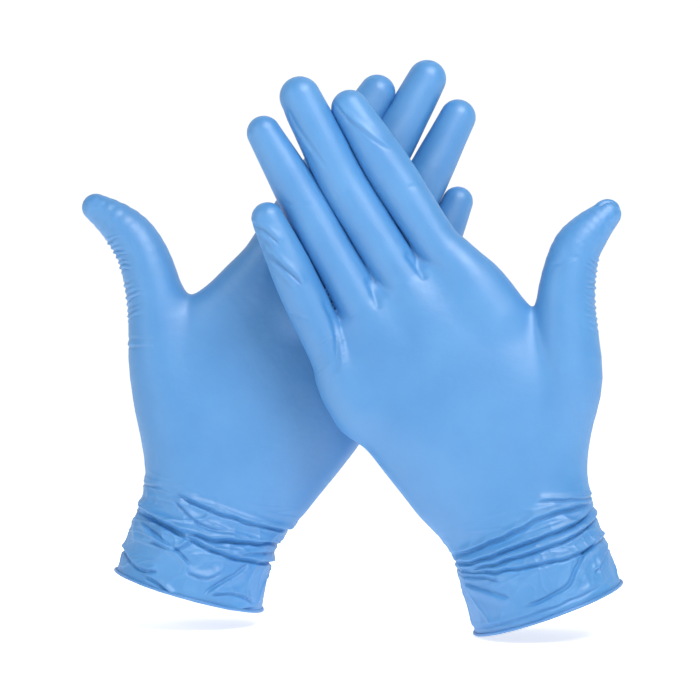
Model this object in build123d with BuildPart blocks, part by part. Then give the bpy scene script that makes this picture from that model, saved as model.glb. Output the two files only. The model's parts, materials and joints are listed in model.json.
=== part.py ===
"""A pair of disposable examination gloves in their worn shape, one crossed in front of the other.

Millimetres, +Z up. The fingers point up, the front glove's open face looks along -Y and the rear
glove stands behind it, at +Y. The origin is the centre of the front glove's cuff opening.

Each glove is a thin film with no seam. It is divided where it flexes: at the wrist, at the root of
each finger stall, and half way up each stall. Every zone is a hollow film shell of its own.
"""

import os
from dataclasses import dataclass
from math import asin, cos, radians, sin

from build123d import *

# ---- film and rim ----
FILM = 0.12  # thickness of the film
FLEX_GAP = 0.4  # clear line between two zones that bend on each other
RIM_RADIUS = 30.5  # outside of the cuff at its rim
RIM_BAND = 8.0  # straight, round length of cuff above the rim
BEAD_RADIUS = 0.8  # section of the rolled rim
BEAD_SINK = 0.3  # how much of the bead's section the cuff wall takes up
WRIST_HALF_WIDTH = 31.2
WRIST_HALF_DEPTH = 21.0

# ---- construction ----
OVERRUN = 9.0  # how far a form runs past the plane that trims it
BORE_OVERRUN = 2.0  # how far a hollow runs past an open end
STUB_LENGTH = 24.0  # how deep a stall's root reaches down inside the hand section
STUB_FLARE = 1.0  # how much wider the root is at that depth
GLOVE_SPACING = 34.0  # from the front glove's middle plane to the rear one's

DIGIT_NAMES = ("thumb", "index", "middle", "ring", "little")


@dataclass
class Digit:
    """One stall: the centres of its root, middle flex line and round end, and the radius at each."""

    root: tuple
    mid: tuple
    tip: tuple
    radii: tuple


@dataclass
class Section:
    """An elliptical section of the hand: centre, tilt of its width about Y in degrees, half width, half depth."""

    centre: tuple
    tilt: float
    half_width: float
    half_depth: float


@dataclass
class Glove:
    """name; which way its stalls fold along Y; rim, wrist and hand sections; thumb base; stalls."""

    name: str
    fold: int
    rim: Section
    wrist: Section
    hand: list
    thumb_base: list
    digits: dict


def rim_section(centre, tilt):
    return Section(centre, tilt, RIM_RADIUS, RIM_RADIUS)


def wrist_section(centre, tilt):
    return Section(centre, tilt, WRIST_HALF_WIDTH, WRIST_HALF_DEPTH)


FRONT = Glove(
    name="front",
    fold=-1,
    rim=rim_section((0, 0, 0), 19.6),
    wrist=wrist_section((-11.8, 0, 37.4), 29.5),
    hand=[
        Section((-30, 0, 78), 25, 41.0, 16.5),
        Section((-54, 1, 113), 29, 38.5, 14.5),
        Section((-64.5, 1.5, 122.5), 38, 32.0, 12.5),
    ],
    thumb_base=[((-2, 0, 52), 12.0), ((7, -2, 93), 14.2)],
    digits={
        "thumb": Digit((6.5, -3, 121), (10, -3, 140.5), (23, -3, 157.4), (11.8, 9.7, 5.8)),
        "index": Digit((-45.4, 2, 147), (-62.4, 3, 173.5), (-79.4, 2, 200.2), (9.3, 9.1, 7.0)),
        "middle": Digit((-62.4, 2, 138), (-81, 3, 168), (-99.4, 1, 204.6), (9.2, 8.9, 7.3)),
        "ring": Digit((-80.4, 2, 131), (-98.4, 3, 163), (-113.8, 1, 190.3), (8.9, 8.2, 6.3)),
        "little": Digit((-88.9, -1, 106), (-99.9, -1, 129), (-112.2, -3, 155.8), (8.2, 7.6, 6.0)),
    },
)

REAR = Glove(
    name="rear",
    fold=1,
    rim=rim_section((-146.4, GLOVE_SPACING, 3.2), -15.6),
    wrist=wrist_section((-136.4, GLOVE_SPACING, 36.6), -31.2),
    hand=[
        Section((-117.5, GLOVE_SPACING, 76), -27, 41.0, 16.5),
        Section((-99.5, GLOVE_SPACING - 1, 107), -31, 39.0, 14.5),
        Section((-87, GLOVE_SPACING - 1.5, 126), -39, 32.0, 12.5),
    ],
    thumb_base=[
        ((-144.5, GLOVE_SPACING, 51), 12.0),
        ((-156.5, GLOVE_SPACING + 1, 92), 14.5),
    ],
    digits={
        "thumb": Digit(
            (-159.8, GLOVE_SPACING + 1, 121),
            (-165.3, GLOVE_SPACING + 1, 141.6),
            (-185.2, GLOVE_SPACING + 1, 162.7),
            (12.2, 10.2, 5.8),
        ),
        "index": Digit(
            (-106.3, GLOVE_SPACING - 2, 154),
            (-87.7, GLOVE_SPACING - 3, 181.3),
            (-68.2, GLOVE_SPACING - 2, 210),
            (9.4, 9.3, 7.0),
        ),
        "middle": Digit(
            (-85.4, GLOVE_SPACING - 2, 144.5),
            (-66.1, GLOVE_SPACING - 3, 181),
            (-47.4, GLOVE_SPACING - 1, 215.9),
            (9.4, 9.2, 7.3),
        ),
        "ring": Digit(
            (-68.6, GLOVE_SPACING - 2, 133.7),
            (-50.6, GLOVE_SPACING - 3, 168.7),
            (-34.6, GLOVE_SPACING - 1, 200.1),
            (9.2, 9.0, 6.8),
        ),
        "little": Digit(
            (-60, GLOVE_SPACING - 1, 108),
            (-45.5, GLOVE_SPACING - 1, 138.5),
            (-34.6, GLOVE_SPACING, 165),
            (8.3, 7.6, 5.7),
        ),
    },
)

GLOVES = (FRONT, REAR)


def section_plane(section, lift=0.0):
    """The plane of a section, its X across the hand and its Z towards the fingers, lifted along Z."""
    tilt = radians(section.tilt)
    across = Vector(cos(tilt), 0, sin(tilt))
    up = Vector(-sin(tilt), 0, cos(tilt))
    return Plane(Vector(*section.centre) + up * lift, x_dir=across, z_dir=up)


def direction(start, end):
    """The unit vector from one point to another."""
    return (Vector(*end) - Vector(*start)).normalized()


def root_plane(digit, lift=0.0):
    """The plane across a stall where it leaves the hand section."""
    along = direction(digit.root, digit.mid)
    return Plane(Vector(*digit.root) + along * lift, z_dir=along)


def mid_plane(digit, lift=0.0):
    """The plane across a stall's middle flex line, which halves the bend there."""
    along = (direction(digit.root, digit.mid) + direction(digit.mid, digit.tip)).normalized()
    return Plane(Vector(*digit.mid) + along * lift, z_dir=along)


def side_plane(start, end):
    """A plane through a stall's axis: its Y runs from start to end and its X is radial."""
    along = direction(start, end)
    radial = along.cross(Vector(0, 1, 0)).normalized()
    return Plane(Vector(*start), x_dir=radial, z_dir=radial.cross(along))


def tapered(start, end, start_radius, end_radius, inset, below, above=None):
    """A solid cone frustum round the axis from start to end, run on past both ends with the same taper.

    With above=None its far end is a round dome centred on end. inset makes it that much smaller all over.
    """
    length = (Vector(*end) - Vector(*start)).length
    slope = (end_radius - start_radius) / length
    low_radius = start_radius - slope * below - inset
    with BuildPart() as form:
        with BuildSketch(side_plane(start, end)):
            with BuildLine():
                if above is None:
                    lean = asin(-slope)
                    dome = end_radius - inset
                    shoulder = (dome * cos(lean), length + dome * sin(lean))
                    middle = (dome * sin(radians(45)), length + dome * cos(radians(45)))
                    Polyline((0, -below), (low_radius, -below), shoulder)
                    ThreePointArc(shoulder, middle, (0, length + dome))
                    Line((0, length + dome), (0, -below))
                else:
                    high_radius = end_radius + slope * above - inset
                    Polyline(
                        (0, -below),
                        (low_radius, -below),
                        (high_radius, length + above),
                        (0, length + above),
                        close=True,
                    )
            make_face()
        revolve(axis=Axis(start, tuple(direction(start, end))))
    return form.part


def hand_form(glove, inset, overrun):
    """The hand section as a solid: a loft through the palm, the thumb's base and a stub for each finger."""
    palm_sections = [(section_plane(glove.wrist, FLEX_GAP / 2), glove.wrist)]
    palm_sections += [(section_plane(s), s) for s in glove.hand[:-1]]
    palm_sections.append((section_plane(glove.hand[-1], -inset), glove.hand[-1]))
    thumb = glove.digits["thumb"]
    with BuildPart() as form:
        for plane, section in palm_sections:
            with BuildSketch(plane):
                Ellipse(section.half_width - inset, section.half_depth - inset)
        loft()
        if overrun:
            with BuildSketch(palm_sections[0][0]):
                Ellipse(WRIST_HALF_WIDTH - inset, WRIST_HALF_DEPTH - inset)
            extrude(amount=-overrun)
        thumb_path = [centre for centre, _ in glove.thumb_base] + [thumb.root]
        for (centre, radius), after in zip(glove.thumb_base, thumb_path[1:]):
            with BuildSketch(Plane(Vector(*centre), z_dir=direction(centre, after))):
                Circle(radius - inset)
        with BuildSketch(root_plane(thumb, overrun)):
            Circle(thumb.radii[0] - inset)
        loft()
        for name in DIGIT_NAMES[1:]:
            digit = glove.digits[name]
            radius = digit.radii[0]
            deep_end = tuple(Vector(*digit.root) - direction(digit.root, digit.mid) * STUB_LENGTH)
            add(tapered(deep_end, digit.root, radius + STUB_FLARE, radius, inset, 0, overrun))
    return form.part


def make_hand(glove):
    """The hand section: open at the wrist and at the root of each stall."""
    with BuildPart() as hand:
        add(hand_form(glove, 0, 0))
        add(hand_form(glove, FILM, BORE_OVERRUN), mode=Mode.SUBTRACT)
    hand.part.label = f"{glove.name}_hand"
    return hand.part


def make_stall(glove, name):
    """The lower half of a stall, from its root to its middle flex line: a tapered tube, open at both ends."""
    digit = glove.digits[name]
    ends = (digit.root, digit.mid, digit.radii[0], digit.radii[1])
    with BuildPart() as stall:
        add(tapered(*ends, 0, below=0, above=OVERRUN))
        add(tapered(*ends, FILM, below=BORE_OVERRUN, above=OVERRUN + 1), mode=Mode.SUBTRACT)
        split(bisect_by=mid_plane(digit, -FLEX_GAP / 2), keep=Keep.BOTTOM)
        split(bisect_by=root_plane(digit, FLEX_GAP), keep=Keep.TOP)
    stall.part.label = f"{glove.name}_{name}_stall"
    return stall.part


def make_tip(glove, name):
    """The upper half of a stall, closed by its round end and open at the middle flex line."""
    digit = glove.digits[name]
    ends = (digit.mid, digit.tip, digit.radii[1], digit.radii[2])
    with BuildPart() as tip:
        add(tapered(*ends, 0, below=OVERRUN))
        add(tapered(*ends, FILM, below=OVERRUN + 1), mode=Mode.SUBTRACT)
        split(bisect_by=mid_plane(digit, FLEX_GAP / 2), keep=Keep.TOP)
    tip.part.label = f"{glove.name}_{name}_tip"
    return tip.part


def cuff_form(glove, inset, overrun):
    """The cuff as a solid: a straight round band at the rim, then a loft to the oval wrist."""
    with BuildPart() as form:
        with BuildSketch(section_plane(glove.rim, -overrun)):
            Circle(RIM_RADIUS - inset)
        extrude(amount=RIM_BAND + overrun)
        with BuildSketch(section_plane(glove.rim, RIM_BAND)):
            Ellipse(RIM_RADIUS - inset, RIM_RADIUS - inset)
        with BuildSketch(section_plane(glove.wrist, -FLEX_GAP / 2)):
            Ellipse(WRIST_HALF_WIDTH - inset, WRIST_HALF_DEPTH - inset)
        loft()
        if overrun:
            with BuildSketch(section_plane(glove.wrist, -FLEX_GAP / 2)):
                Ellipse(WRIST_HALF_WIDTH - inset, WRIST_HALF_DEPTH - inset)
            extrude(amount=overrun)
    return form.part


def make_cuff(glove):
    """The cuff from the wrist's flex line down to the rim, open at both ends."""
    with BuildPart() as cuff:
        add(cuff_form(glove, 0, 0))
        add(cuff_form(glove, FILM, BORE_OVERRUN), mode=Mode.SUBTRACT)
    cuff.part.label = f"{glove.name}_cuff"
    return cuff.part


def make_bead(glove):
    """The rolled rim: a ring of film wound up against the outside of the cuff."""
    plane = section_plane(glove.rim)
    section_centre = (RIM_RADIUS + BEAD_RADIUS - BEAD_SINK, BEAD_RADIUS)
    with BuildPart() as bead:
        with BuildSketch(Plane(plane.origin, x_dir=plane.x_dir, z_dir=-plane.y_dir)):
            with Locations(section_centre):
                Circle(BEAD_RADIUS)
            with Locations((RIM_RADIUS - BEAD_RADIUS, BEAD_RADIUS)):
                Rectangle(2 * BEAD_RADIUS, 4 * BEAD_RADIUS, mode=Mode.SUBTRACT)
        revolve(axis=Axis(tuple(plane.origin), tuple(plane.z_dir)))
    bead.part.label = f"{glove.name}_rim_bead"
    return bead.part


def make_glove(glove):
    """Every zone of one glove."""
    zones = [make_hand(glove), make_cuff(glove), make_bead(glove)]
    for name in DIGIT_NAMES:
        zones.append(make_stall(glove, name))
        zones.append(make_tip(glove, name))
    return zones


def main():
    os.makedirs("parts", exist_ok=True)
    for glove in GLOVES:
        for zone in make_glove(glove):
            export_step(zone, f"parts/{zone.label}.step")


if __name__ == "__main__":
    main()
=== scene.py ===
"""The looks of a pair of blue disposable gloves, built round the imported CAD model.

Each glove is one thin film. Its outer skin is the level surface of a distance field: an oval tube through
cuff and palm, joined smoothly to one curved, tapered tube for each digit. The skin is meshed, smoothed,
pushed into folds and wrinkles, given its thickness, and divided where the CAD model flexes. The tables are
millimetres in the row's frame. A fold's path is a list of (x, z), as someone who faces the pair sees it.
"""

import json
import math
from dataclasses import dataclass

import bpy
import numpy as np
import openvdb
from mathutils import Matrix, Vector


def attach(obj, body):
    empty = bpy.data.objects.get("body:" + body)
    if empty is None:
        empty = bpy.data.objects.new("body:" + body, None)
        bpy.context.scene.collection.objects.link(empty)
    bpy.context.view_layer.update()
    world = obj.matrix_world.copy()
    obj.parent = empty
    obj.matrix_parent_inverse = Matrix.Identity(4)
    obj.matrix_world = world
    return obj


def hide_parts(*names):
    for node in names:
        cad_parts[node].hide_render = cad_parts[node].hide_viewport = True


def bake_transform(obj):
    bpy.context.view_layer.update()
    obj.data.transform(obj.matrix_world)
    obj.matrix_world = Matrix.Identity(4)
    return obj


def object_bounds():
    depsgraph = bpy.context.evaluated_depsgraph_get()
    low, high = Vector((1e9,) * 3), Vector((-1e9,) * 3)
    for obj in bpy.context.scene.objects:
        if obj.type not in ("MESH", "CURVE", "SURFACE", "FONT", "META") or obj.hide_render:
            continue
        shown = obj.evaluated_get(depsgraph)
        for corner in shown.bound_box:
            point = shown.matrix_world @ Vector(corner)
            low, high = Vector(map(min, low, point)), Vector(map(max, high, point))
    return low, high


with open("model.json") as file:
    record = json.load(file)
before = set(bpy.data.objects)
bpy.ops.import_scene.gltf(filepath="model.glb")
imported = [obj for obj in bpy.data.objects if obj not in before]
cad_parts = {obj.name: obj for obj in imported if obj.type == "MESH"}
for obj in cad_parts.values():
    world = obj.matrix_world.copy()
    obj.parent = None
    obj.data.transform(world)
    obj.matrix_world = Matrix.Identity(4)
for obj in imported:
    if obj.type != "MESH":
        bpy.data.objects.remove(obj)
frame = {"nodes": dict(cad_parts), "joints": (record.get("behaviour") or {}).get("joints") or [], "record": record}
cad_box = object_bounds()

MM = 0.001
DIGITS = ("thumb", "index", "middle", "ring", "little")
JOINTS = {j["name"]: j for j in frame["joints"]}

# the grid of the distance field
VOXEL = 0.7  # spacing that a skin is meshed on; a fine skin's is half that
FINE_DIGITS = ("thumb",)  # digits whose wrinkles need a fine skin, as the cuff's do
ROOM = np.array([34.0, 32.0, 12.0])  # room round a glove's centre lines
GRID_BOTTOM = -14.0
DIGIT_ROOM = 9.0  # room round a digit, besides its blend
PALM_ROOM = 36.0  # how far above its last oval a palm's field is worked out
CUFF_SPREAD = 42.0  # half the width that a cuff's part of the grid takes in
CUFF_LENGTH = 52.0  # how far above its rim a cuff's own piece reaches, past the wrist's flex
FAR = 20.0  # the field's value where nothing is near

# the digits' centre lines
LINK_PARTS = 4  # capsules between two of a digit's centres
STUB_LINKS = 3 * LINK_PARTS + 1  # how many of a digit's links lie up to its root
THUMB_STUB_LINKS = STUB_LINKS + 2
VALLEY = (-22.0, -1.0)  # heights over a root between which its blend into the palm dies away
VALLEY_BLEND = 0.18  # what is left of the blend at the root
RING_DEPTH = 3.0  # points this near to the end of a tube belong to its end ring

# the film
SMOOTHING = 8  # rounds of smoothing after meshing; a fine skin has twice as many
WAVES = 14  # in each field of noise
WAVE_HEIGHT = 0.62  # keeps most of a field between -1 and 1
LOOSE_FILM = 60.0  # how far above the rim the film hangs loose
FOLD_PARTS = 3  # straight pieces between two points of a fold's path
FILM = 0.15  # thickness of the film that the skins show
FLEX_HALF = 6.0  # half the length of film that bends at a middle flex line
ROOT_FLEX = 9.0  # length of film that bends at a stall's root
SEAM_MARGIN = 1.2  # how far a seam between pieces stays from film that bends

# the rolled rim
BEAD_RADIUS = 0.65
BEAD_SEAT = 0.35  # how far the middle of the roll stands out from the film
BEAD_STEPS = (320, 14)  # round the rim, and round the bead's own section


# ---------------------------------------------------------------- vectors and noise


def unit(v):
    v = np.asarray(v, float)
    return v / np.linalg.norm(v)


def smooth_step(low, high, x):
    t = np.clip((x - low) / (high - low), 0.0, 1.0)
    return t * t * (3.0 - 2.0 * t)


def smooth_min(a, b, k):
    """The lower of two distances, rounded where they are within k of each other."""
    h = np.maximum(k - np.abs(a - b), 0.0) / k
    return np.minimum(a, b) - h * h * k * 0.25


def catmull(values, i, t):
    """Smooth interpolation between values[i] and values[i + 1]."""
    a = values[max(i - 1, 0)]
    b, c = values[i], values[i + 1]
    d = values[min(i + 2, len(values) - 1)]
    t2, t3 = t * t, t * t * t
    return 0.5 * (2 * b + (c - a) * t + (2 * a - 5 * b + 4 * c - d) * t2 + (3 * b - a - 3 * c + d) * t3)


def spline(values, parts):
    """Fills a list of points in, so that it curves smoothly through them."""
    values = np.array(values, float)
    steps = [catmull(values, i, k / parts) for i in range(len(values) - 1) for k in range(parts)]
    return np.array(steps + [values[-1]])


def noise(points, size, seed):
    """Smooth noise, mostly from -1 to 1, with features about size mm across: waves in all directions."""
    random = np.random.default_rng(seed)
    ways = random.normal(size=(WAVES, 3))
    ways *= (np.pi / size * random.uniform(0.6, 1.3, WAVES) / np.linalg.norm(ways, axis=1))[:, None]
    waves = np.cos(points @ ways.T + random.uniform(0.0, 2 * np.pi, WAVES))
    return waves.sum(1) * (WAVE_HEIGHT / math.sqrt(WAVES))


# ---------------------------------------------------------------- the frame's skeleton


def node_points(node):
    data = frame["nodes"][node].data
    co = np.empty(len(data.vertices) * 3, np.float32)
    data.vertices.foreach_get("co", co)
    return co.reshape(-1, 3).astype(float) / MM


def hinge_frame(name):
    """(a point on the hinge line, its axis, the way its zone points), in mm."""
    joint = JOINTS[name]
    axis = unit(joint["axis"])
    along = np.cross([0.0, -1.0, 0.0], axis)
    return np.array(joint["pos_m"], float) / MM, axis, unit(along if along[2] > 0 else -along)


def low_ring(points, hinge, axis, along):
    """(centre, radius) of the open low end of a tube of points."""
    height = (points - hinge) @ along
    edge = points[height < height.min() + RING_DEPTH] - hinge
    depth_axis = np.cross(axis, along)
    across, depth = edge @ axis, edge @ depth_axis
    centre = axis * (across.max() + across.min()) / 2 + depth_axis * (depth.max() + depth.min()) / 2
    return hinge + centre, (across.max() - across.min()) / 2


@dataclass
class Stall:
    """A stall as the frame has it: centres and radii at root, middle flex line and round end."""

    root: np.ndarray
    mid: np.ndarray
    tip: np.ndarray
    radii: tuple
    along: np.ndarray
    bisector: np.ndarray


def read_stall(glove, digit):
    hinge, axis, along = hinge_frame(f"{glove}_{digit}_root_flex")
    root, root_r = low_ring(node_points(f"{glove}_{digit}_stall"), hinge, axis, along)
    hinge, axis, bisector = hinge_frame(f"{glove}_{digit}_middle_flex")
    points = node_points(f"{glove}_{digit}_tip")
    mid, mid_r = low_ring(points, hinge, axis, bisector)
    reach = np.linalg.norm(points - mid, axis=1)
    top = points[reach.argmax()]
    line = unit(top - mid)
    height = (points - mid) @ line
    across = np.linalg.norm(points - mid - np.outer(height, line), axis=1)
    tip_r = mid_r
    for _ in range(4):
        tip_r = across[height > reach.max() - tip_r].max()
    return Stall(root, mid, top - line * tip_r, (root_r, mid_r, tip_r), along, bisector)


# ---------------------------------------------------------------- forms of the two gloves


@dataclass
class Oval:
    """A section across a glove: centre, tilt of its width in degrees, half width, half depth, squareness."""

    centre: tuple
    tilt: float
    half_width: float
    half_depth: float
    square: float = 2.3


@dataclass
class Fold:
    """A fold along a path: a ridge with a crease beside it, or a crease alone if height is negative.

    The crease lies below the path, or above it if side is -1. A fold that runs around goes right round the
    glove, and any other only over the face that looks along -Y.
    """

    path: list
    height: float
    width: float = 1.5
    side: int = 1
    around: bool = False


@dataclass
class Wrinkles:
    """A row of short wrinkles that run inwards from an edge, which goes from start to end."""

    start: tuple
    end: tuple
    reach: float
    spacing: float
    height: float
    slant: float = 0.0
    face_only: bool = False


@dataclass
class Form:
    """What a glove's shape needs beyond its stalls."""

    ovals: list
    thumb_base: list
    index_base: list
    bow: tuple  # how far the thumb's upper half bows out, as (x, y, z)
    thumb_swell: float
    web: dict  # height above its root at which each stall's own piece begins
    blend: dict  # how widely each stall blends into the palm
    swell: dict  # stall: factors on its radii at root, middle and tip
    folds: list
    wrinkles: list
    crumple: float  # height of the creases in the crumpled cuff
    gather: float  # height of the fine lines where the film is pushed together at the wrist
    seed: int = 0


FRONT = Form(
    ovals=[
        Oval((2.0, 0, -5.7), 19.6, 31.3, 30.0, 2.0),
        Oval((0.0, 0, 0.0), 19.6, 30.8, 29.0, 2.0),
        Oval((-3.6, 0, 10.0), 20.5, 30.2, 27.0, 2.1),
        Oval((-7.3, 0, 22.0), 24.0, 30.2, 24.0, 2.2),
        Oval((-11.4, 0, 36.5), 28.5, 31.0, 20.0, 2.3),
        Oval((-19.3, 0, 55.0), 27.5, 37.5, 17.5, 2.4),
        Oval((-31.2, 0, 78.0), 25.5, 42.5, 16.0, 2.5),
        Oval((-44.5, 0.5, 96.0), 26.0, 43.5, 13.8, 2.5),
        Oval((-56.0, 1, 112.5), 29.0, 41.5, 11.2, 2.5),
        Oval((-65.0, 1.5, 123.5), 36.0, 33.0, 8.0, 2.4),
        Oval((-69.0, 2, 129.5), 36.0, 27.0, 4.0, 2.2),
    ],
    thumb_base=[((-5, 0, 46), 11.0), ((3, -1, 70), 12.8), ((7.3, -2, 93), 14.0)],
    index_base=[((-22, 1, 117), 10.5), ((-31.5, 1.5, 131), 11.0), ((-39, 2, 139.5), 10.3)],
    bow=(-1.0, 0, 0.6),
    thumb_swell=1.06,
    web={"thumb": 1.0, "index": 2.0, "middle": 1.5, "ring": 1.5, "little": 4.5},
    blend={"thumb": 6.0, "index": 9.0, "middle": 8.0, "ring": 8.0, "little": 8.0},
    swell={
        "index": (1.0, 1.06, 1.08),
        "middle": (1.06, 1.08, 1.14),
        "ring": (1.06, 1.11, 1.1),
        "little": (1.08, 1.15, 1.1),
    },
    folds=[
        # bands of film pushed together at the wrist
        Fold(
            [(-42, 24), (-34, 25), (-19.5, 31.5), (-4.5, 39), (8.5, 42.5), (20, 45)], 1.1, 1.3, around=True
        ),
        Fold([(-8, 44), (-1, 45.5), (12.5, 45.5), (20, 47)], 0.6, 0.9),
        Fold([(-42, 21), (-31.5, 21), (-15, 27.5), (8.5, 36.5), (20, 44)], 1.3, 1.2, around=True),
        Fold([(-40, 17), (-27.5, 19.5), (-10, 25), (8.5, 32), (24, 42)], 1.2, 1.1, around=True),
        Fold([(-40, 17), (-22.5, 18), (-2, 22), (8.5, 24.5), (26, 32)], 1.1, 1.1, around=True),
        Fold([(20, 29), (12.5, 22.5), (9, 16.5), (5.5, 11), (-3.5, 6), (-13, 2.5)], 0.9, 1.1, side=-1),
        # crumples below them, and the line along the rim
        Fold([(-37, 15), (-28, 15.5), (-20, 14.5)], 0.7, 1.0),
        Fold([(-35, 10), (-27, 8), (-17, 5.5)], 0.7, 1.2, side=-1),
        Fold([(-34, -7.5), (-22.5, -3), (-4.5, 3.5), (12.5, 10), (24, 15)], 0.5, 1.0, around=True),
        Fold([(24, 27), (19, 20), (15, 17)], 0.7, 1.1),
        # index and middle stalls
        Fold([(-85, 203), (-79.5, 196), (-70.5, 188.5), (-62, 183)], 0.45, 0.9),
        Fold([(-106, 200), (-101, 191), (-92.5, 179), (-89, 174)], 0.35, 1.0, side=-1),
        Fold([(-86, 164), (-82, 166), (-79, 167)], -0.22, 0.7),
        Fold([(-57, 168), (-52, 168.5), (-47, 169)], -0.22, 0.7),
        Fold([(-106, 161.5), (-100, 161), (-94, 161)], -0.22, 0.7),
        # little stall: its slack folds, and the crease that parts it from the ring stall
        Fold([(-119, 156), (-113, 152), (-106, 145.5)], 0.6, 1.0),
        Fold([(-117, 151), (-112, 147), (-108, 142)], 0.45, 0.9),
        Fold([(-115, 145.5), (-105.5, 138), (-96.5, 129)], 0.8, 1.1),
        Fold([(-113, 140), (-106, 133), (-101, 128)], 0.3, 0.9),
        Fold([(-104, 118.5), (-99.5, 116.5), (-95, 115.5)], -0.3, 0.8),
        Fold([(-90, 125), (-85.5, 114), (-84.5, 103.5), (-85.5, 93)], -1.0, 1.2),
        # the palm's creases below the valleys between the stalls
        Fold([(-57, 143), (-53, 137), (-49, 131)], -0.8, 1.3),
        Fold([(-73, 133), (-70, 126.5), (-68, 119)], -0.8, 1.3),
        # thumb
        Fold([(18, 160.5), (22, 163), (26, 162.5), (29.5, 159)], 0.4, 0.8),
        Fold([(-1, 136.5), (5.5, 138.5), (11, 141)], -0.25, 0.9),
    ],
    wrinkles=[
        Wrinkles((20.5, 141), (18.5, 110), 8.5, 2.3, 0.75, 0.35),
        Wrinkles((-85.5, 111), (-86.5, 92), 8.0, 2.1, 0.5, 0.9, face_only=True),
    ],
    crumple=0.5,
    gather=0.34,
    seed=1,
)

REAR = Form(
    ovals=[
        Oval((-148.0, 34, -2.6), -15.6, 31.6, 30.0, 2.0),
        Oval((-146.4, 34, 3.2), -15.6, 31.2, 29.0, 2.0),
        Oval((-143.6, 34, 13.2), -17.5, 30.3, 27.0, 2.1),
        Oval((-140.2, 34, 24.5), -24.0, 30.2, 24.0, 2.2),
        Oval((-135.8, 34, 37.5), -30.0, 31.0, 20.0, 2.3),
        Oval((-128.0, 34, 55.0), -29.0, 36.0, 17.5, 2.4),
        Oval((-117.8, 34, 76.0), -27.5, 41.5, 16.0, 2.5),
        Oval((-108.0, 33.5, 95.5), -31.0, 44.0, 13.8, 2.5),
        Oval((-99.0, 33, 109.5), -32.0, 41.0, 11.2, 2.5),
        Oval((-87.5, 32.5, 126.0), -38.0, 32.0, 8.0, 2.4),
        Oval((-83.8, 32, 131.0), -38.0, 26.0, 4.0, 2.2),
    ],
    thumb_base=[((-142, 34, 50), 11.8), ((-150.7, 34.5, 70), 14.4), ((-156.8, 35, 93), 14.4)],
    index_base=[((-131, 34, 121.5), 9.0), ((-121.8, 33.5, 130), 11.0), ((-114.5, 32.5, 140), 10.2)],
    bow=(1.8, 0, 1.8),
    thumb_swell=1.1,
    web={"thumb": 3.0, "index": 2.0, "middle": 2.0, "ring": 2.0, "little": 4.0},
    blend={"thumb": 15.0, "index": 9.0, "middle": 8.0, "ring": 8.0, "little": 8.0},
    swell={
        "index": (1.0, 1.04, 1.1),
        "middle": (1.0, 1.05, 1.1),
        "ring": (1.0, 1.04, 1.1),
        "little": (1.02, 1.08, 1.14),
    },
    folds=[
        # bands of film pushed together at the wrist
        Fold([(-152, 47), (-147, 44.5), (-128.5, 36.5), (-107, 30.5), (-98, 29)], 1.0, 1.2, around=True),
        Fold([(-152, 44), (-149.5, 42), (-140.5, 33.5), (-128.5, 30)], 0.6, 1.0),
        Fold([(-170, 42), (-154.5, 34), (-136.5, 28), (-109.5, 25), (-102, 24.5)], 1.5, 1.3, around=True),
        Fold([(-170, 40), (-151.5, 32), (-131.5, 22), (-111.5, 16.5), (-100, 15)], 1.3, 1.2, around=True),
        Fold([(-128, 20.5), (-119, 21), (-108, 20.5)], 0.7, 1.0),
        Fold([(-172, 51), (-162, 48.5), (-156, 49)], 0.4, 1.0),
        # crumples of the cuff
        Fold([(-160, 27.5), (-157, 26), (-150.5, 23.5), (-143, 27.5)], 0.8, 1.0),
        Fold([(-166, 33), (-157, 26), (-151.5, 22.5), (-143, 15)], 0.9, 1.0, side=-1),
        Fold([(-175, 24), (-165, 15.5), (-156, 15)], 0.9, 1.1),
        Fold([(-163, 13), (-156.5, 10), (-150, 4)], 0.8, 1.0),
        Fold([(-138, 4), (-126, 11), (-119, 16)], 0.8, 1.1, side=-1),
        Fold([(-136, 6), (-123.5, 4.5), (-118, 0)], 0.7, 1.0),
        Fold([(-146, 15), (-137, 12), (-131, 15)], 0.7, 1.0),
        Fold([(-178, 10), (-160, 3), (-140, -1.5), (-114, -1)], 0.5, 1.0, around=True),
        # thumb
        Fold([(-175, 108), (-166, 108), (-158, 108)], -0.3, 0.7),
        Fold([(-175, 105.5), (-166, 105.5), (-159, 105.5)], 0.3, 0.7),
    ],
    wrinkles=[
        Wrinkles((-181, 150), (-174, 134), 8.0, 2.3, 0.95, -0.35),
        Wrinkles((-173.5, 132.5), (-172.5, 114), 11.0, 2.5, 0.8, 0.15),
    ],
    crumple=0.6,
    gather=0.42,
    seed=2,
)

FORMS = {"front": FRONT, "rear": REAR}


# ---------------------------------------------------------------- distance fields


def capsule(p, a, b):
    """Distance of points to a tapered capsule between two (x, y, z, radius) ends."""
    ab = b[:3] - a[:3]
    t = np.clip(((p - a[:3]) @ ab) / (ab @ ab), 0.0, 1.0)
    return np.linalg.norm(p - (a[:3] + t[..., None] * ab), axis=-1) - (a[3] + (b[3] - a[3]) * t)


def chain(p, links):
    """Distance to a chain of tapered capsules."""
    best = capsule(p, links[0], links[1])
    for a, b in zip(links[1:], links[2:]):
        best = np.minimum(best, capsule(p, a, b))
    return best


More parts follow.
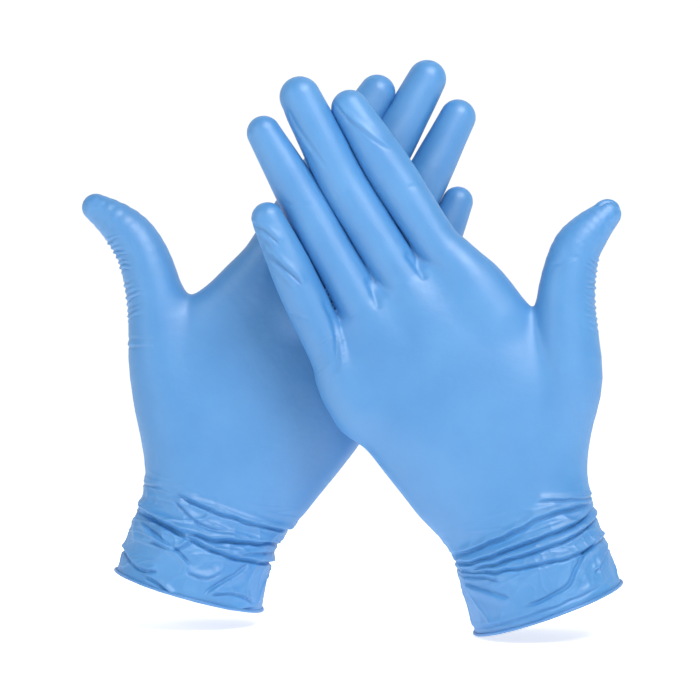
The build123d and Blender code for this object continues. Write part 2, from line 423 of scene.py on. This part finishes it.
def oval_tube(p, ovals):
    """Distance, near enough, to a tube through oval sections. It runs on below its low end."""
    shape = p.shape[:-1]
    p = p.reshape(-1, 3)
    centres = np.array([o.centre for o in ovals], float)
    tilts = np.radians([o.tilt for o in ovals])
    sizes = np.array([(o.half_width, o.half_depth, o.square) for o in ovals])
    normals = np.stack([-np.sin(tilts), 0 * tilts, np.cos(tilts)], 1)
    heights = np.stack([(p - c) @ n for c, n in zip(centres, normals)], 1)
    index = np.clip((heights > 0).sum(1) - 1, 0, len(ovals) - 2)
    rows = np.arange(len(p))
    below, above = heights[rows, index], heights[rows, index + 1]
    share = np.clip(below / np.maximum(below - above, 1e-6), 0.0, 1.0)
    out = np.empty(len(p))
    for i in range(len(ovals) - 1):
        m = index == i
        t = share[m][:, None]
        size = catmull(sizes, i, t)
        tilt = catmull(tilts[:, None], i, t)[:, 0]
        local = p[m] - catmull(centres, i, t)
        x = local[:, 0] * np.cos(tilt) + local[:, 2] * np.sin(tilt)
        y = local[:, 1]
        n = size[:, 2]
        q = (np.abs(x / size[:, 0]) ** n + np.abs(y / size[:, 1]) ** n) ** (1 / n)
        out[m] = np.where(q < 0.05, -size[:, 1], np.hypot(x, y) * (1 - 1 / np.maximum(q, 1e-3)))
    past_top = (index == len(ovals) - 2) & (above > 0)
    return np.where(past_top, np.hypot(np.maximum(out, 0), above), out).reshape(shape)


def digit_links(form, digit, stall):
    """The smooth chain of (x, y, z, radius) up a digit, from deep inside the palm to its round end."""
    root_r, mid_r, tip_r = np.array(stall.radii) * form.swell.get(digit, (1.0, 1.0, 1.0))
    bases = {"thumb": form.thumb_base, "index": form.index_base}
    straight = [(stall.root - stall.along * depth, root_r + 0.5) for depth in (30.0, 20.0, 10.0)]
    low = [(*centre, radius) for centre, radius in bases.get(digit, straight)]
    bow, swell = (form.bow, form.thumb_swell) if digit == "thumb" else ((0, 0, 0), 1.02)
    high = (*((stall.mid + stall.tip) / 2 + bow), (mid_r + tip_r) / 2 * swell)
    return spline(low + [(*stall.root, root_r), (*stall.mid, mid_r), high, (*stall.tip, tip_r)], LINK_PARTS)


# ---------------------------------------------------------------- meshing


class Lattice:
    """The grid of one glove, and spans of it."""

    def __init__(self, low, high, spacing):
        self.spacing = spacing
        self.low = np.floor(low / spacing) * spacing
        self.count = np.ceil((high - self.low) / spacing).astype(int) + 1

    def corner(self, start):
        """The place of the grid point with index start."""
        return self.low + start * self.spacing

    def points(self, start, stop):
        axes = [self.low[k] + self.spacing * np.arange(start[k], stop[k]) for k in range(3)]
        return np.stack(np.meshgrid(*axes, indexing="ij"), -1)

    def span(self, low, high):
        start = np.clip(np.floor((low - self.low) / self.spacing).astype(int), 0, self.count)
        stop = np.clip(np.ceil((high - self.low) / self.spacing).astype(int) + 1, 0, self.count)
        return start, stop


def mesh_field(values, origin, spacing):
    """(points, quads) of the zero surface of values, which sit on a grid from origin."""
    grid = openvdb.FloatGrid(FAR)
    grid.copyFromArray(np.ascontiguousarray(values, dtype=np.float32))
    points, quads = grid.convertToQuads(isovalue=0.0)
    points = np.asarray(points, float) * spacing + origin
    quads = np.asarray(quads, np.int64)
    a, b, c = points[quads[:, 0]], points[quads[:, 1]], points[quads[:, 2]]
    outwards = (a * np.cross(b, c)).sum() > 0
    return points, quads if outwards else quads[:, ::-1]


def directed_edges(quads):
    return np.concatenate([quads[:, [0, 1]], quads[:, [1, 2]], quads[:, [2, 3]], quads[:, [3, 0]]])


def open_edges(quads):
    """Directed edges that only one face uses."""
    edges = directed_edges(quads)
    _, inverse, count = np.unique(np.sort(edges, axis=1), axis=0, return_inverse=True, return_counts=True)
    return edges[count[inverse.ravel()] == 1]


def relax(points, quads, times):
    """Moves each point towards the mean of its neighbours and back, which smooths without shrinking."""
    edges = np.unique(np.sort(directed_edges(quads), axis=1), axis=0)
    low, high = edges.T
    count = np.bincount(edges.ravel(), minlength=len(points)).clip(1)
    for share in (0.5, -0.52) * times:
        mean = np.empty_like(points)
        for k in range(3):
            sums = np.bincount(low, points[high, k], len(points))
            sums += np.bincount(high, points[low, k], len(points))
            mean[:, k] = sums / count
        points = points + share * (mean - points)
    return points


def normals_of(points, quads):
    cross = np.cross(points[quads[:, 2]] - points[quads[:, 0]], points[quads[:, 3]] - points[quads[:, 1]])
    out = np.zeros_like(points)
    for corner in range(4):
        for k in range(3):
            out[:, k] += np.bincount(quads[:, corner], cross[:, k], len(points))
    return out / np.linalg.norm(out, axis=1, keepdims=True).clip(1e-12)


def refine(values):
    """The same field on a grid of half the spacing."""
    for axis in range(3):
        v = np.moveaxis(values, axis, 0)
        out = np.empty((2 * len(v) - 1, *v.shape[1:]), np.float32)
        out[::2], out[1::2] = v, (v[:-1] + v[1:]) / 2
        values = np.moveaxis(out, 0, axis)
    return values


def fine_box(start, stop):
    """The part of a refined array that covers a span of its coarse grid."""
    return tuple(slice(2 * a, 2 * b - 1) for a, b in zip(start, stop))


def glove_lattice(form, links):
    """The coarse grid round a glove. Fields are worked out on it, and then refined to the skins' spacing."""
    ovals = np.array([(*o.centre, o.half_width) for o in form.ovals])
    centres = np.concatenate([links[d] for d in DIGITS] + [ovals])[:, :3]
    low, high = centres.min(0) - ROOM, centres.max(0) + ROOM
    low[2] = GRID_BOTTOM
    return Lattice(low, high, 2 * VOXEL)


def palm_field(form, lattice):
    """The palm's own field, without the digits."""
    values = np.full(lattice.count, FAR, np.float32)
    top = form.ovals[-1].centre[2] + PALM_ROOM
    end = lattice.span(lattice.low, np.array([0, 0, top]))[1][2]
    values[:, :, :end] = oval_tube(lattice.points((0, 0, 0), (*lattice.count[:2], end)), form.ovals)
    return refine(values)


def blend_width(form, digit, stall, points):
    """How widely a digit's stub blends into the palm. Valleys between stalls deepen towards their roots."""
    width = form.blend[digit]
    if digit == "thumb":
        return width
    height = refine((points - stall.root) @ stall.along)
    return width * (1.0 - (1.0 - VALLEY_BLEND) * smooth_step(*VALLEY, height))


def glove_skins(glove, form, stalls, links):
    """The meshed skins of a glove before folding: its palm, its cuff, and each digit by itself."""
    lattice = glove_lattice(form, links)
    palm = palm_field(form, lattice)
    digits = {}
    for digit in DIGITS:
        reach = links[digit][:, 3].max() + DIGIT_ROOM + form.blend[digit]
        start, stop = lattice.span(links[digit][:, :3].min(0) - reach, links[digit][:, :3].max(0) + reach)
        points = lattice.points(start, stop)
        stub_links = THUMB_STUB_LINKS if digit == "thumb" else STUB_LINKS
        stub = refine(chain(points, links[digit][:stub_links]))
        beyond = refine(chain(points, links[digit][stub_links - 1 :]))
        box = fine_box(start, stop)
        palm[box] = smooth_min(palm[box], stub, blend_width(form, digit, stalls[digit], points))
        digits[digit] = box, lattice.corner(start), np.minimum(stub, beyond)
    skins = {}
    whole = palm.copy()
    for digit, (box, corner, field) in digits.items():
        joined = np.minimum(palm[box], field)
        whole[box] = np.minimum(whole[box], joined)
        fine = digit in FINE_DIGITS
        skins[digit] = mesh_field(refine(joined) if fine else joined, corner, VOXEL / 2 if fine else VOXEL)
    skins["palm"] = mesh_field(whole, lattice.low, VOXEL)
    start, stop = cuff_span(glove, lattice)
    skins["cuff"] = mesh_field(refine(palm[fine_box(start, stop)]), lattice.corner(start), VOXEL / 2)
    return skins


def cuff_span(glove, lattice):
    """The span of the grid that holds a cuff."""
    centre, up, across, _ = rim_frame(glove)
    sides = (-CUFF_SPREAD, CUFF_SPREAD)
    corners = np.array([centre + up * h + across * w for h in (0, CUFF_LENGTH) for w in sides])
    room = np.array([0.0, ROOM[1], 4.0])
    return lattice.span(corners.min(0) - room, corners.max(0) + room)


# ---------------------------------------------------------------- folds and wrinkles


def nearest_on_path(xz, path):
    """(distance, share of the way along) of points to a path. The distance is negative below the path."""
    steps = np.diff(path, axis=0)
    lengths = np.linalg.norm(steps, axis=1)
    along = np.concatenate([[0.0], np.cumsum(lengths)])
    best = np.full(len(xz), np.inf)
    signed, share = np.zeros(len(xz)), np.zeros(len(xz))
    for start, step, length, before in zip(path, steps, lengths, along):
        t = np.clip(((xz - start) @ step) / length**2, 0.0, 1.0)
        away = xz - start - t[:, None] * step
        distance = np.linalg.norm(away, axis=1)
        closer = distance < best
        side = step[0] * away[:, 1] - step[1] * away[:, 0]
        best = np.where(closer, distance, best)
        signed = np.where(closer, np.where(side < 0, -distance, distance), signed)
        share = np.where(closer, (before + t * length) / along[-1], share)
    if path[0, 0] > path[-1, 0]:
        signed = -signed
    return signed, share


def fold_height(fold, points, normals, middle):
    """How far a fold lifts each point. middle is the glove's middle plane, as a y."""
    path = spline(fold.path, FOLD_PARTS)
    xz = points[:, [0, 2]].copy()
    if fold.around:  # behind the middle plane it runs off up or down, so that the back differs
        drift = 0.22 if len(fold.path) % 2 else -0.22
        xz[:, 1] += drift * np.maximum(points[:, 1] - middle, 0.0)
    margin = 4 * fold.width
    near = ((xz > path.min(0) - margin) & (xz < path.max(0) + margin)).all(1)
    out = np.zeros(len(points))
    if not near.any():
        return out
    signed, share = nearest_on_path(xz[near], path)
    signed = signed * fold.side + 0.25 * fold.width * noise(points[near], 5.0, 3)
    fade = smooth_step(0.0, 0.16, share) * smooth_step(1.0, 0.84, share)
    if fold.height < 0:
        lift = fold.height * np.exp(-((signed / fold.width) ** 2))
    else:
        steep = np.where(signed < 0, 0.55 * fold.width, 1.5 * fold.width)
        ridge = np.exp(-((signed / steep) ** 2))
        crease = np.exp(-(((signed + 1.2 * fold.width) / (0.5 * fold.width)) ** 2))
        lift = fold.height * (1.1 * ridge - 0.95 * crease)
    out[near] = lift * fade
    if not fold.around:
        out *= smooth_step(-0.35, 0.15, -normals[:, 1])
    return out


def wrinkle_height(row, points, normals):
    """How far a row of wrinkles lifts each point."""
    start, end = np.array(row.start, float), np.array(row.end, float)
    length = np.linalg.norm(end - start)
    step = (end - start) / length
    xz = points[:, [0, 2]]
    inwards = np.array([step[1], -step[0]])
    if (xz.mean(0) - start) @ inwards < 0:
        inwards = -inwards
    s, d = (xz - start) @ step, (xz - start) @ inwards
    near = (s > -4) & (s < length + 4) & (d > -6) & (d < row.reach * 1.6)
    out = np.zeros(len(points))
    p = points[near]
    phase = (s[near] + row.slant * d[near]) / row.spacing + 0.25 * noise(p, 4.0, 5)
    line = np.round(phase)
    vary = 0.75 + 0.25 * np.sin(line * 2.4)
    reach = row.reach * (0.7 + 0.3 * np.sin(line * 4.1 + 1.0))
    inside = smooth_step(-1.0, 3.0, s[near]) * smooth_step(length + 1.0, length - 3.0, s[near])
    shape = (0.5 + 0.5 * np.cos(2 * np.pi * phase)) ** 1.4 - 0.35
    out[near] = row.height * vary * shape * inside * smooth_step(reach, 0.35 * reach, d[near])
    if row.face_only:
        out *= smooth_step(-0.2, 0.3, -normals[:, 1])
    return out


def rim_frame(glove):
    """(centre, axis towards the fingers, across, back) of a glove's cuff opening, in mm."""
    mount = next(m for m in frame["record"]["mounts"] if m["name"] == f"{glove}_opening")
    up = -unit(mount["axis"])
    back = np.array([0.0, 1.0, 0.0])
    return np.array(mount["pos_m"], float) / MM, up, unit(np.cross(back, up)), back


def creases(values, sharpness, level):
    """Narrow ridges where values cross 0, between flats that lie a little below 0."""
    return (1.0 - np.abs(values).clip(0, 1)) ** sharpness - level


def cuff_height(glove, form, points, height):
    """How far the loose film of the cuff and the wrist is lifted. height is measured from the rim."""
    centre, _, across, back = rim_frame(glove)
    bent = points + 3.0 * np.stack([noise(points, 13.0, form.seed + k) for k in range(3)], 1)
    crumples = 1.3 * creases(noise(bent, 12.0, form.seed + 7), 7, 0.2)
    crumples += 0.55 * creases(noise(bent, 5.0, form.seed + 11), 4, 0.3)
    in_cuff = smooth_step(1.0, 6.0, height) * smooth_step(46.0, 30.0, height)
    # gathered lines are long across the wrist and close together along it
    stretched = [(points - centre) @ across / 16.0, (points - centre) @ back / 16.0, height / 2.3]
    stretched[2] += noise(points, 15.0, form.seed + 41)
    gathers = creases(noise(np.stack(stretched, 1), 1.0, form.seed + 43), 3, 0.3)
    at_wrist = smooth_step(12.0, 22.0, height) * smooth_step(48.0, 38.0, height)
    slack = 0.5 * smooth_step(LOOSE_FILM, 30.0, height) * noise(points, 19.0, form.seed + 5)
    return form.crumple * in_cuff * crumples + form.gather * at_wrist * gathers + slack


def fold_film(glove, form, points, quads):
    """Pushes a smooth skin into its folds, wrinkles and crumples. Returns points and normals."""
    normals = normals_of(points, quads)
    centre, up, _, _ = rim_frame(glove)
    lift = 0.12 * noise(points, 9.0, form.seed + 23)
    for fold in form.folds:
        lift += fold_height(fold, points, normals, centre[1])
    for row in form.wrinkles:
        lift += wrinkle_height(row, points, normals)
    height = (points - centre) @ up
    low = np.flatnonzero(height < LOOSE_FILM)
    lift[low] += cuff_height(glove, form, points[low], height[low])
    points = points + normals * lift[:, None]
    return points, normals_of(points, quads)


def trim(points, normals, quads, centre, up):
    """Cuts a skin off below the plane through centre. Returns points, quads and the new edge's points."""
    height = (points - centre) @ up
    quads = quads[height[quads].mean(1) > 0]
    rim = np.unique(open_edges(quads))
    rim = rim[np.abs(height[rim]) < 2 * VOXEL]
    slope = up - (normals[rim] @ up)[:, None] * normals[rim]
    slope /= (slope @ up)[:, None]
    points = points.copy()
    points[rim] -= slope * height[rim, None]
    return points, quads, points[rim]


# ---------------------------------------------------------------- Blender objects


def build_object(name, points, normals, faces):
    """A mesh object from points in mm, their normals and quads. Its material reads its rest places."""
    mesh = bpy.data.meshes.new(name)
    mesh.vertices.add(len(points))
    mesh.vertices.foreach_set("co", (points * MM).astype(np.float32).ravel())
    mesh.loops.add(faces.size)
    mesh.loops.foreach_set("vertex_index", faces.astype(np.int32).ravel())
    mesh.polygons.add(len(faces))
    mesh.polygons.foreach_set("loop_start", np.arange(0, faces.size, 4, dtype=np.int32))
    mesh.update(calc_edges=True)
    mesh.shade_smooth()
    rest = mesh.attributes.new("rest", "FLOAT_VECTOR", "POINT")
    rest.data.foreach_set("vector", points.astype(np.float32).ravel())
    mesh.normals_split_custom_set_from_vertices(normals.tolist())
    obj = bpy.data.objects.new(name, mesh)
    bpy.context.scene.collection.objects.link(obj)
    return obj


def film_piece(name, points, normals, quads):
    """A piece of film: its outer skin, its inner skin, and the thin walls that close its open edges."""
    used, faces = np.unique(quads, return_inverse=True)
    faces = faces.reshape(quads.shape)
    outer, n = points[used], normals[used]
    count = len(used)
    edge = open_edges(faces)
    walls = np.stack([edge[:, 1], edge[:, 0], edge[:, 0] + count, edge[:, 1] + count], 1)
    every = np.concatenate([faces, faces[:, ::-1] + count, walls])
    return build_object(name, np.concatenate([outer, outer - n * FILM]), np.concatenate([n, -n]), every)


def bead_piece(glove, edge):
    """The rolled rim: a ring wound up against the outside of the film's edge."""
    centre, up, across, back = rim_frame(glove)
    x, y = (edge - centre) @ across, (edge - centre) @ back
    around, section = BEAD_STEPS
    angle = np.linspace(0.0, 2 * np.pi, around, endpoint=False)
    radius = np.interp(angle, np.arctan2(y, x), np.hypot(x, y), period=2 * np.pi)
    radius = np.convolve(np.tile(radius, 3), np.ones(5) / 5, "same")[around : 2 * around]
    out = np.cos(angle)[:, None] * across + np.sin(angle)[:, None] * back
    ring = centre + out * (radius + BEAD_SEAT)[:, None] + up * BEAD_RADIUS
    turns = np.linspace(0.0, 2 * np.pi, section, endpoint=False)
    thick = BEAD_RADIUS * (1.0 + 0.10 * noise(ring, 4.0, 31) + 0.05 * noise(ring, 1.6, 37))
    lip = 1.0 - 0.12 * np.exp(-(((turns - 2.2) / 0.35) ** 2))  # the groove beside the roll's last turn
    normals = np.cos(turns)[None, :, None] * out[:, None] - np.sin(turns)[None, :, None] * up
    points = ring[:, None] + normals * (thick[:, None] * lip)[..., None]
    index = np.arange(around * section).reshape(around, section)
    after, beside = np.roll(index, -1, 0), np.roll(index, -1, 1)
    faces = np.stack([index, beside, np.roll(after, -1, 1), after], -1).reshape(-1, 4)
    return build_object(f"{glove}_rolled_rim", points.reshape(-1, 3), normals.reshape(-1, 3), faces)


# ---------------------------------------------------------------- materials


def principled(name):
    mat = bpy.data.materials.new(name)
    mat.use_nodes = True
    return mat, mat.node_tree.nodes, mat.node_tree.links, mat.node_tree.nodes["Principled BSDF"]


def nitrile(name, light, dark, roughness):
    """Satin nitrile: faint clouds of film thickness in its colour, and a fine skin grain in its bump."""
    mat, nodes, links, shader = principled(name)
    rest = nodes.new("ShaderNodeAttribute")
    rest.attribute_name = "rest"

    def clouds(scale, detail):
        node = nodes.new("ShaderNodeTexNoise")
        node.inputs["Scale"].default_value = scale
        node.inputs["Detail"].default_value = detail
        links.new(rest.outputs["Vector"], node.inputs["Vector"])
        return node.outputs["Fac"]

    def bump(height, strength, distance, under=None):
        node = nodes.new("ShaderNodeBump")
        node.inputs["Strength"].default_value = strength
        node.inputs["Distance"].default_value = distance
        links.new(height, node.inputs["Height"])
        if under:
            links.new(under, node.inputs["Normal"])
        return node.outputs["Normal"]

    ramp = nodes.new("ShaderNodeValToRGB")
    ramp.color_ramp.elements[0].position, ramp.color_ramp.elements[1].position = 0.3, 0.7
    ramp.color_ramp.elements[0].color = (*dark, 1)
    ramp.color_ramp.elements[1].color = (*light, 1)
    links.new(clouds(0.05, 5.0), ramp.inputs["Fac"])
    links.new(ramp.outputs["Color"], shader.inputs["Base Color"])
    waves = clouds(0.35, 3.0)
    grain = bump(clouds(2.4, 3.0), 0.10, 0.0002)
    links.new(bump(waves, 0.10, 0.001, grain), shader.inputs["Normal"])
    spread = nodes.new("ShaderNodeMapRange")
    spread.inputs["To Min"].default_value = roughness - 0.05
    spread.inputs["To Max"].default_value = roughness + 0.07
    links.new(waves, spread.inputs["Value"])
    links.new(spread.outputs["Result"], shader.inputs["Roughness"])
    shader.inputs["Specular IOR Level"].default_value = 1.0
    shader.inputs["Subsurface Weight"].default_value = 0.15
    shader.inputs["Subsurface Radius"].default_value = (0.3, 0.7, 1.0)
    shader.inputs["Subsurface Scale"].default_value = 0.0015
    return mat


# ---------------------------------------------------------------- a glove


def place(piece, material, nodes):
    """Gives a piece its material, and hides the CAD nodes that it stands in for."""
    piece.data.materials.append(material)
    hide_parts(*nodes)


def in_stall(form, digit, stall, links, points, quads, overlap=0.0):
    """Which faces belong to a stall: beyond its root, less the overlap, and nearer to it than to others."""
    centres = points[quads].mean(1)
    out = (centres - stall.root) @ stall.along > form.web[digit] - overlap
    nearest = np.stack([chain(centres[out], links[d]) for d in DIGITS], 1).argmin(1)
    out[out] = nearest == DIGITS.index(digit)
    return out


def make_palm(glove, form, stalls, links, skin, film):
    """The palm and the back of a glove, down to its cuff and up to its stalls."""
    points, quads = skin
    gone = np.zeros(len(quads), bool)
    for digit in DIGITS:
        gone |= in_stall(form, digit, stalls[digit], links, points, quads)
    points, normals = fold_film(glove, form, relax(points, quads, SMOOTHING), quads)
    centre, up, _, _ = rim_frame(glove)
    points, quads, _ = trim(points, normals, quads[~gone], centre + up * CUFF_LENGTH, up)
    palm = film_piece(f"{glove}_palm_skin", points, normals, quads)
    place(palm, film, [f"{glove}_hand"])
    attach(palm, f"{glove}_hand")


def make_cuff(glove, form, skin, film, rim):
    """The cuff, and the rolled rim on its edge."""
    points, quads = skin
    points, normals = fold_film(glove, form, relax(points, quads, 2 * SMOOTHING), quads)
    centre, up, _, _ = rim_frame(glove)
    points, quads, _ = trim(points, normals, quads, centre + up * CUFF_LENGTH, -up)
    points, quads, edge = trim(points, normals, quads, centre, up)
    cuff = film_piece(f"{glove}_cuff_skin", points, normals, quads)
    place(cuff, film, [f"{glove}_cuff"])
    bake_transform(cuff)
    bead = bead_piece(glove, edge)
    place(bead, rim, [f"{glove}_rim_bead"])
    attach(bead, f"{glove}_cuff")


def make_stall(glove, form, digit, stall, links, skin, film):
    """The two halves of a stall, which part at its middle flex line.

    A fine stall overlaps the palm a little, because their faces don't meet at the seam.
    """
    points, quads = skin
    fine = digit in FINE_DIGITS
    relaxed = relax(points, quads, 2 * SMOOTHING if fine else SMOOTHING)
    smooth, normals = fold_film(glove, form, relaxed, quads)
    quads = quads[in_stall(form, digit, stall, links, points, quads, overlap=VOXEL if fine else 0.0)]
    past = (points[quads].mean(1) - stall.mid) @ stall.bisector > -FLEX_HALF - SEAM_MARGIN
    lower = film_piece(f"{glove}_{digit}_lower_skin", smooth, normals, quads[~past])
    place(lower, film, [f"{glove}_{digit}_stall"])
    start = stall.root + stall.along * (form.web[digit] + SEAM_MARGIN)
    end = start + stall.along * ROOT_FLEX
    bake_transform(lower)
    upper = film_piece(f"{glove}_{digit}_upper_skin", smooth, normals, quads[past])
    place(upper, film, [f"{glove}_{digit}_tip"])
    start, end = stall.mid - stall.bisector * FLEX_HALF, stall.mid + stall.bisector * FLEX_HALF
    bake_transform(upper)


def make_glove(glove, film, rim):
    form = FORMS[glove]
    stalls = {d: read_stall(glove, d) for d in DIGITS}
    links = {d: digit_links(form, d, stalls[d]) for d in DIGITS}
    skins = glove_skins(glove, form, stalls, links)
    make_palm(glove, form, stalls, links, skins["palm"], film)
    make_cuff(glove, form, skins["cuff"], film, rim)
    for digit in DIGITS:
        make_stall(glove, form, digit, stalls[digit], links, skins[digit], film)


# ---------------------------------------------------------------- the set

CAMERA_DISTANCE = 0.85
CAMERA_FIELD = 0.28  # width of the middle plane that the camera takes in
SENSOR = 36.0
CENTRE = (-0.0794, 0.0, 0.1034)
FLOOR_SIZE = 60.0
FLOOR_GAP = 0.0005  # between the floor and the lowest rim


def area_light(name, place_at, size, power):
    """A round lamp that faces the gloves."""
    data = bpy.data.lights.new(name, "AREA")
    data.shape, data.size, data.energy = "DISK", size, power
    obj = bpy.data.objects.new(name, data)
    obj.location = place_at
    obj.rotation_euler = (Vector(CENTRE) - Vector(place_at)).to_track_quat("-Z", "Y").to_euler()
    bpy.context.scene.collection.objects.link(obj)


def make_world(back, front):
    """Plain studio surroundings: bright behind the gloves, darker on the viewer's side."""
    world = bpy.data.worlds.new("world")
    world.use_nodes = True
    nodes, links = world.node_tree.nodes, world.node_tree.links
    where = nodes.new("ShaderNodeTexCoord")
    parts = nodes.new("ShaderNodeSeparateXYZ")
    spread = nodes.new("ShaderNodeMapRange")
    spread.inputs["From Min"].default_value = -0.1
    spread.inputs["From Max"].default_value = 0.6
    spread.inputs["To Min"].default_value = front
    spread.inputs["To Max"].default_value = back
    links.new(where.outputs["Generated"], parts.inputs["Vector"])
    links.new(parts.outputs["Y"], spread.inputs["Value"])
    links.new(spread.outputs["Result"], nodes["Background"].inputs["Strength"])
    nodes["Background"].inputs["Color"].default_value = (1, 1, 1, 1)
    bpy.context.scene.world = world


def make_camera():
    camera = bpy.data.objects.new("camera", bpy.data.cameras.new("camera"))
    camera.data.sensor_width = SENSOR
    camera.data.lens = SENSOR * CAMERA_DISTANCE / CAMERA_FIELD
    camera.location = (CENTRE[0], -CAMERA_DISTANCE, CENTRE[2])
    camera.rotation_euler = (math.radians(90), 0, 0)
    bpy.context.scene.collection.objects.link(camera)
    bpy.context.scene.camera = camera


def make_floor():
    """A white floor that also glows a little, so that it and the white wall behind look like one ground."""
    bpy.ops.mesh.primitive_plane_add(size=FLOOR_SIZE, location=(0, 0, cad_box[0].z - FLOOR_GAP))
    floor = bpy.context.object
    floor.name = "floor"
    mat, _, _, shader = principled("floor")
    shader.inputs["Base Color"].default_value = (0.9, 0.9, 0.9, 1)
    shader.inputs["Roughness"].default_value = 1.0
    shader.inputs["Specular IOR Level"].default_value = 0.0
    shader.inputs["Emission Color"].default_value = (1, 1, 1, 1)
    shader.inputs["Emission Strength"].default_value = 0.7
    floor.data.materials.append(mat)


def make_set():
    make_camera()
    make_floor()
    make_world(back=1.02, front=0.12)
    bpy.context.scene.view_settings.view_transform = "Standard"
    area_light("key", (0.20, -0.50, 0.72), 0.45, 6.8)
    area_light("side", (-0.70, -0.45, 0.45), 0.4, 1.6)


film = nitrile("nitrile", (0.062, 0.250, 0.56), (0.046, 0.220, 0.525), 0.50)
rim = nitrile("rim", (0.062, 0.240, 0.54), (0.046, 0.210, 0.505), 0.48)
for glove_name in FORMS:
    make_glove(glove_name, film, rim)
make_set()
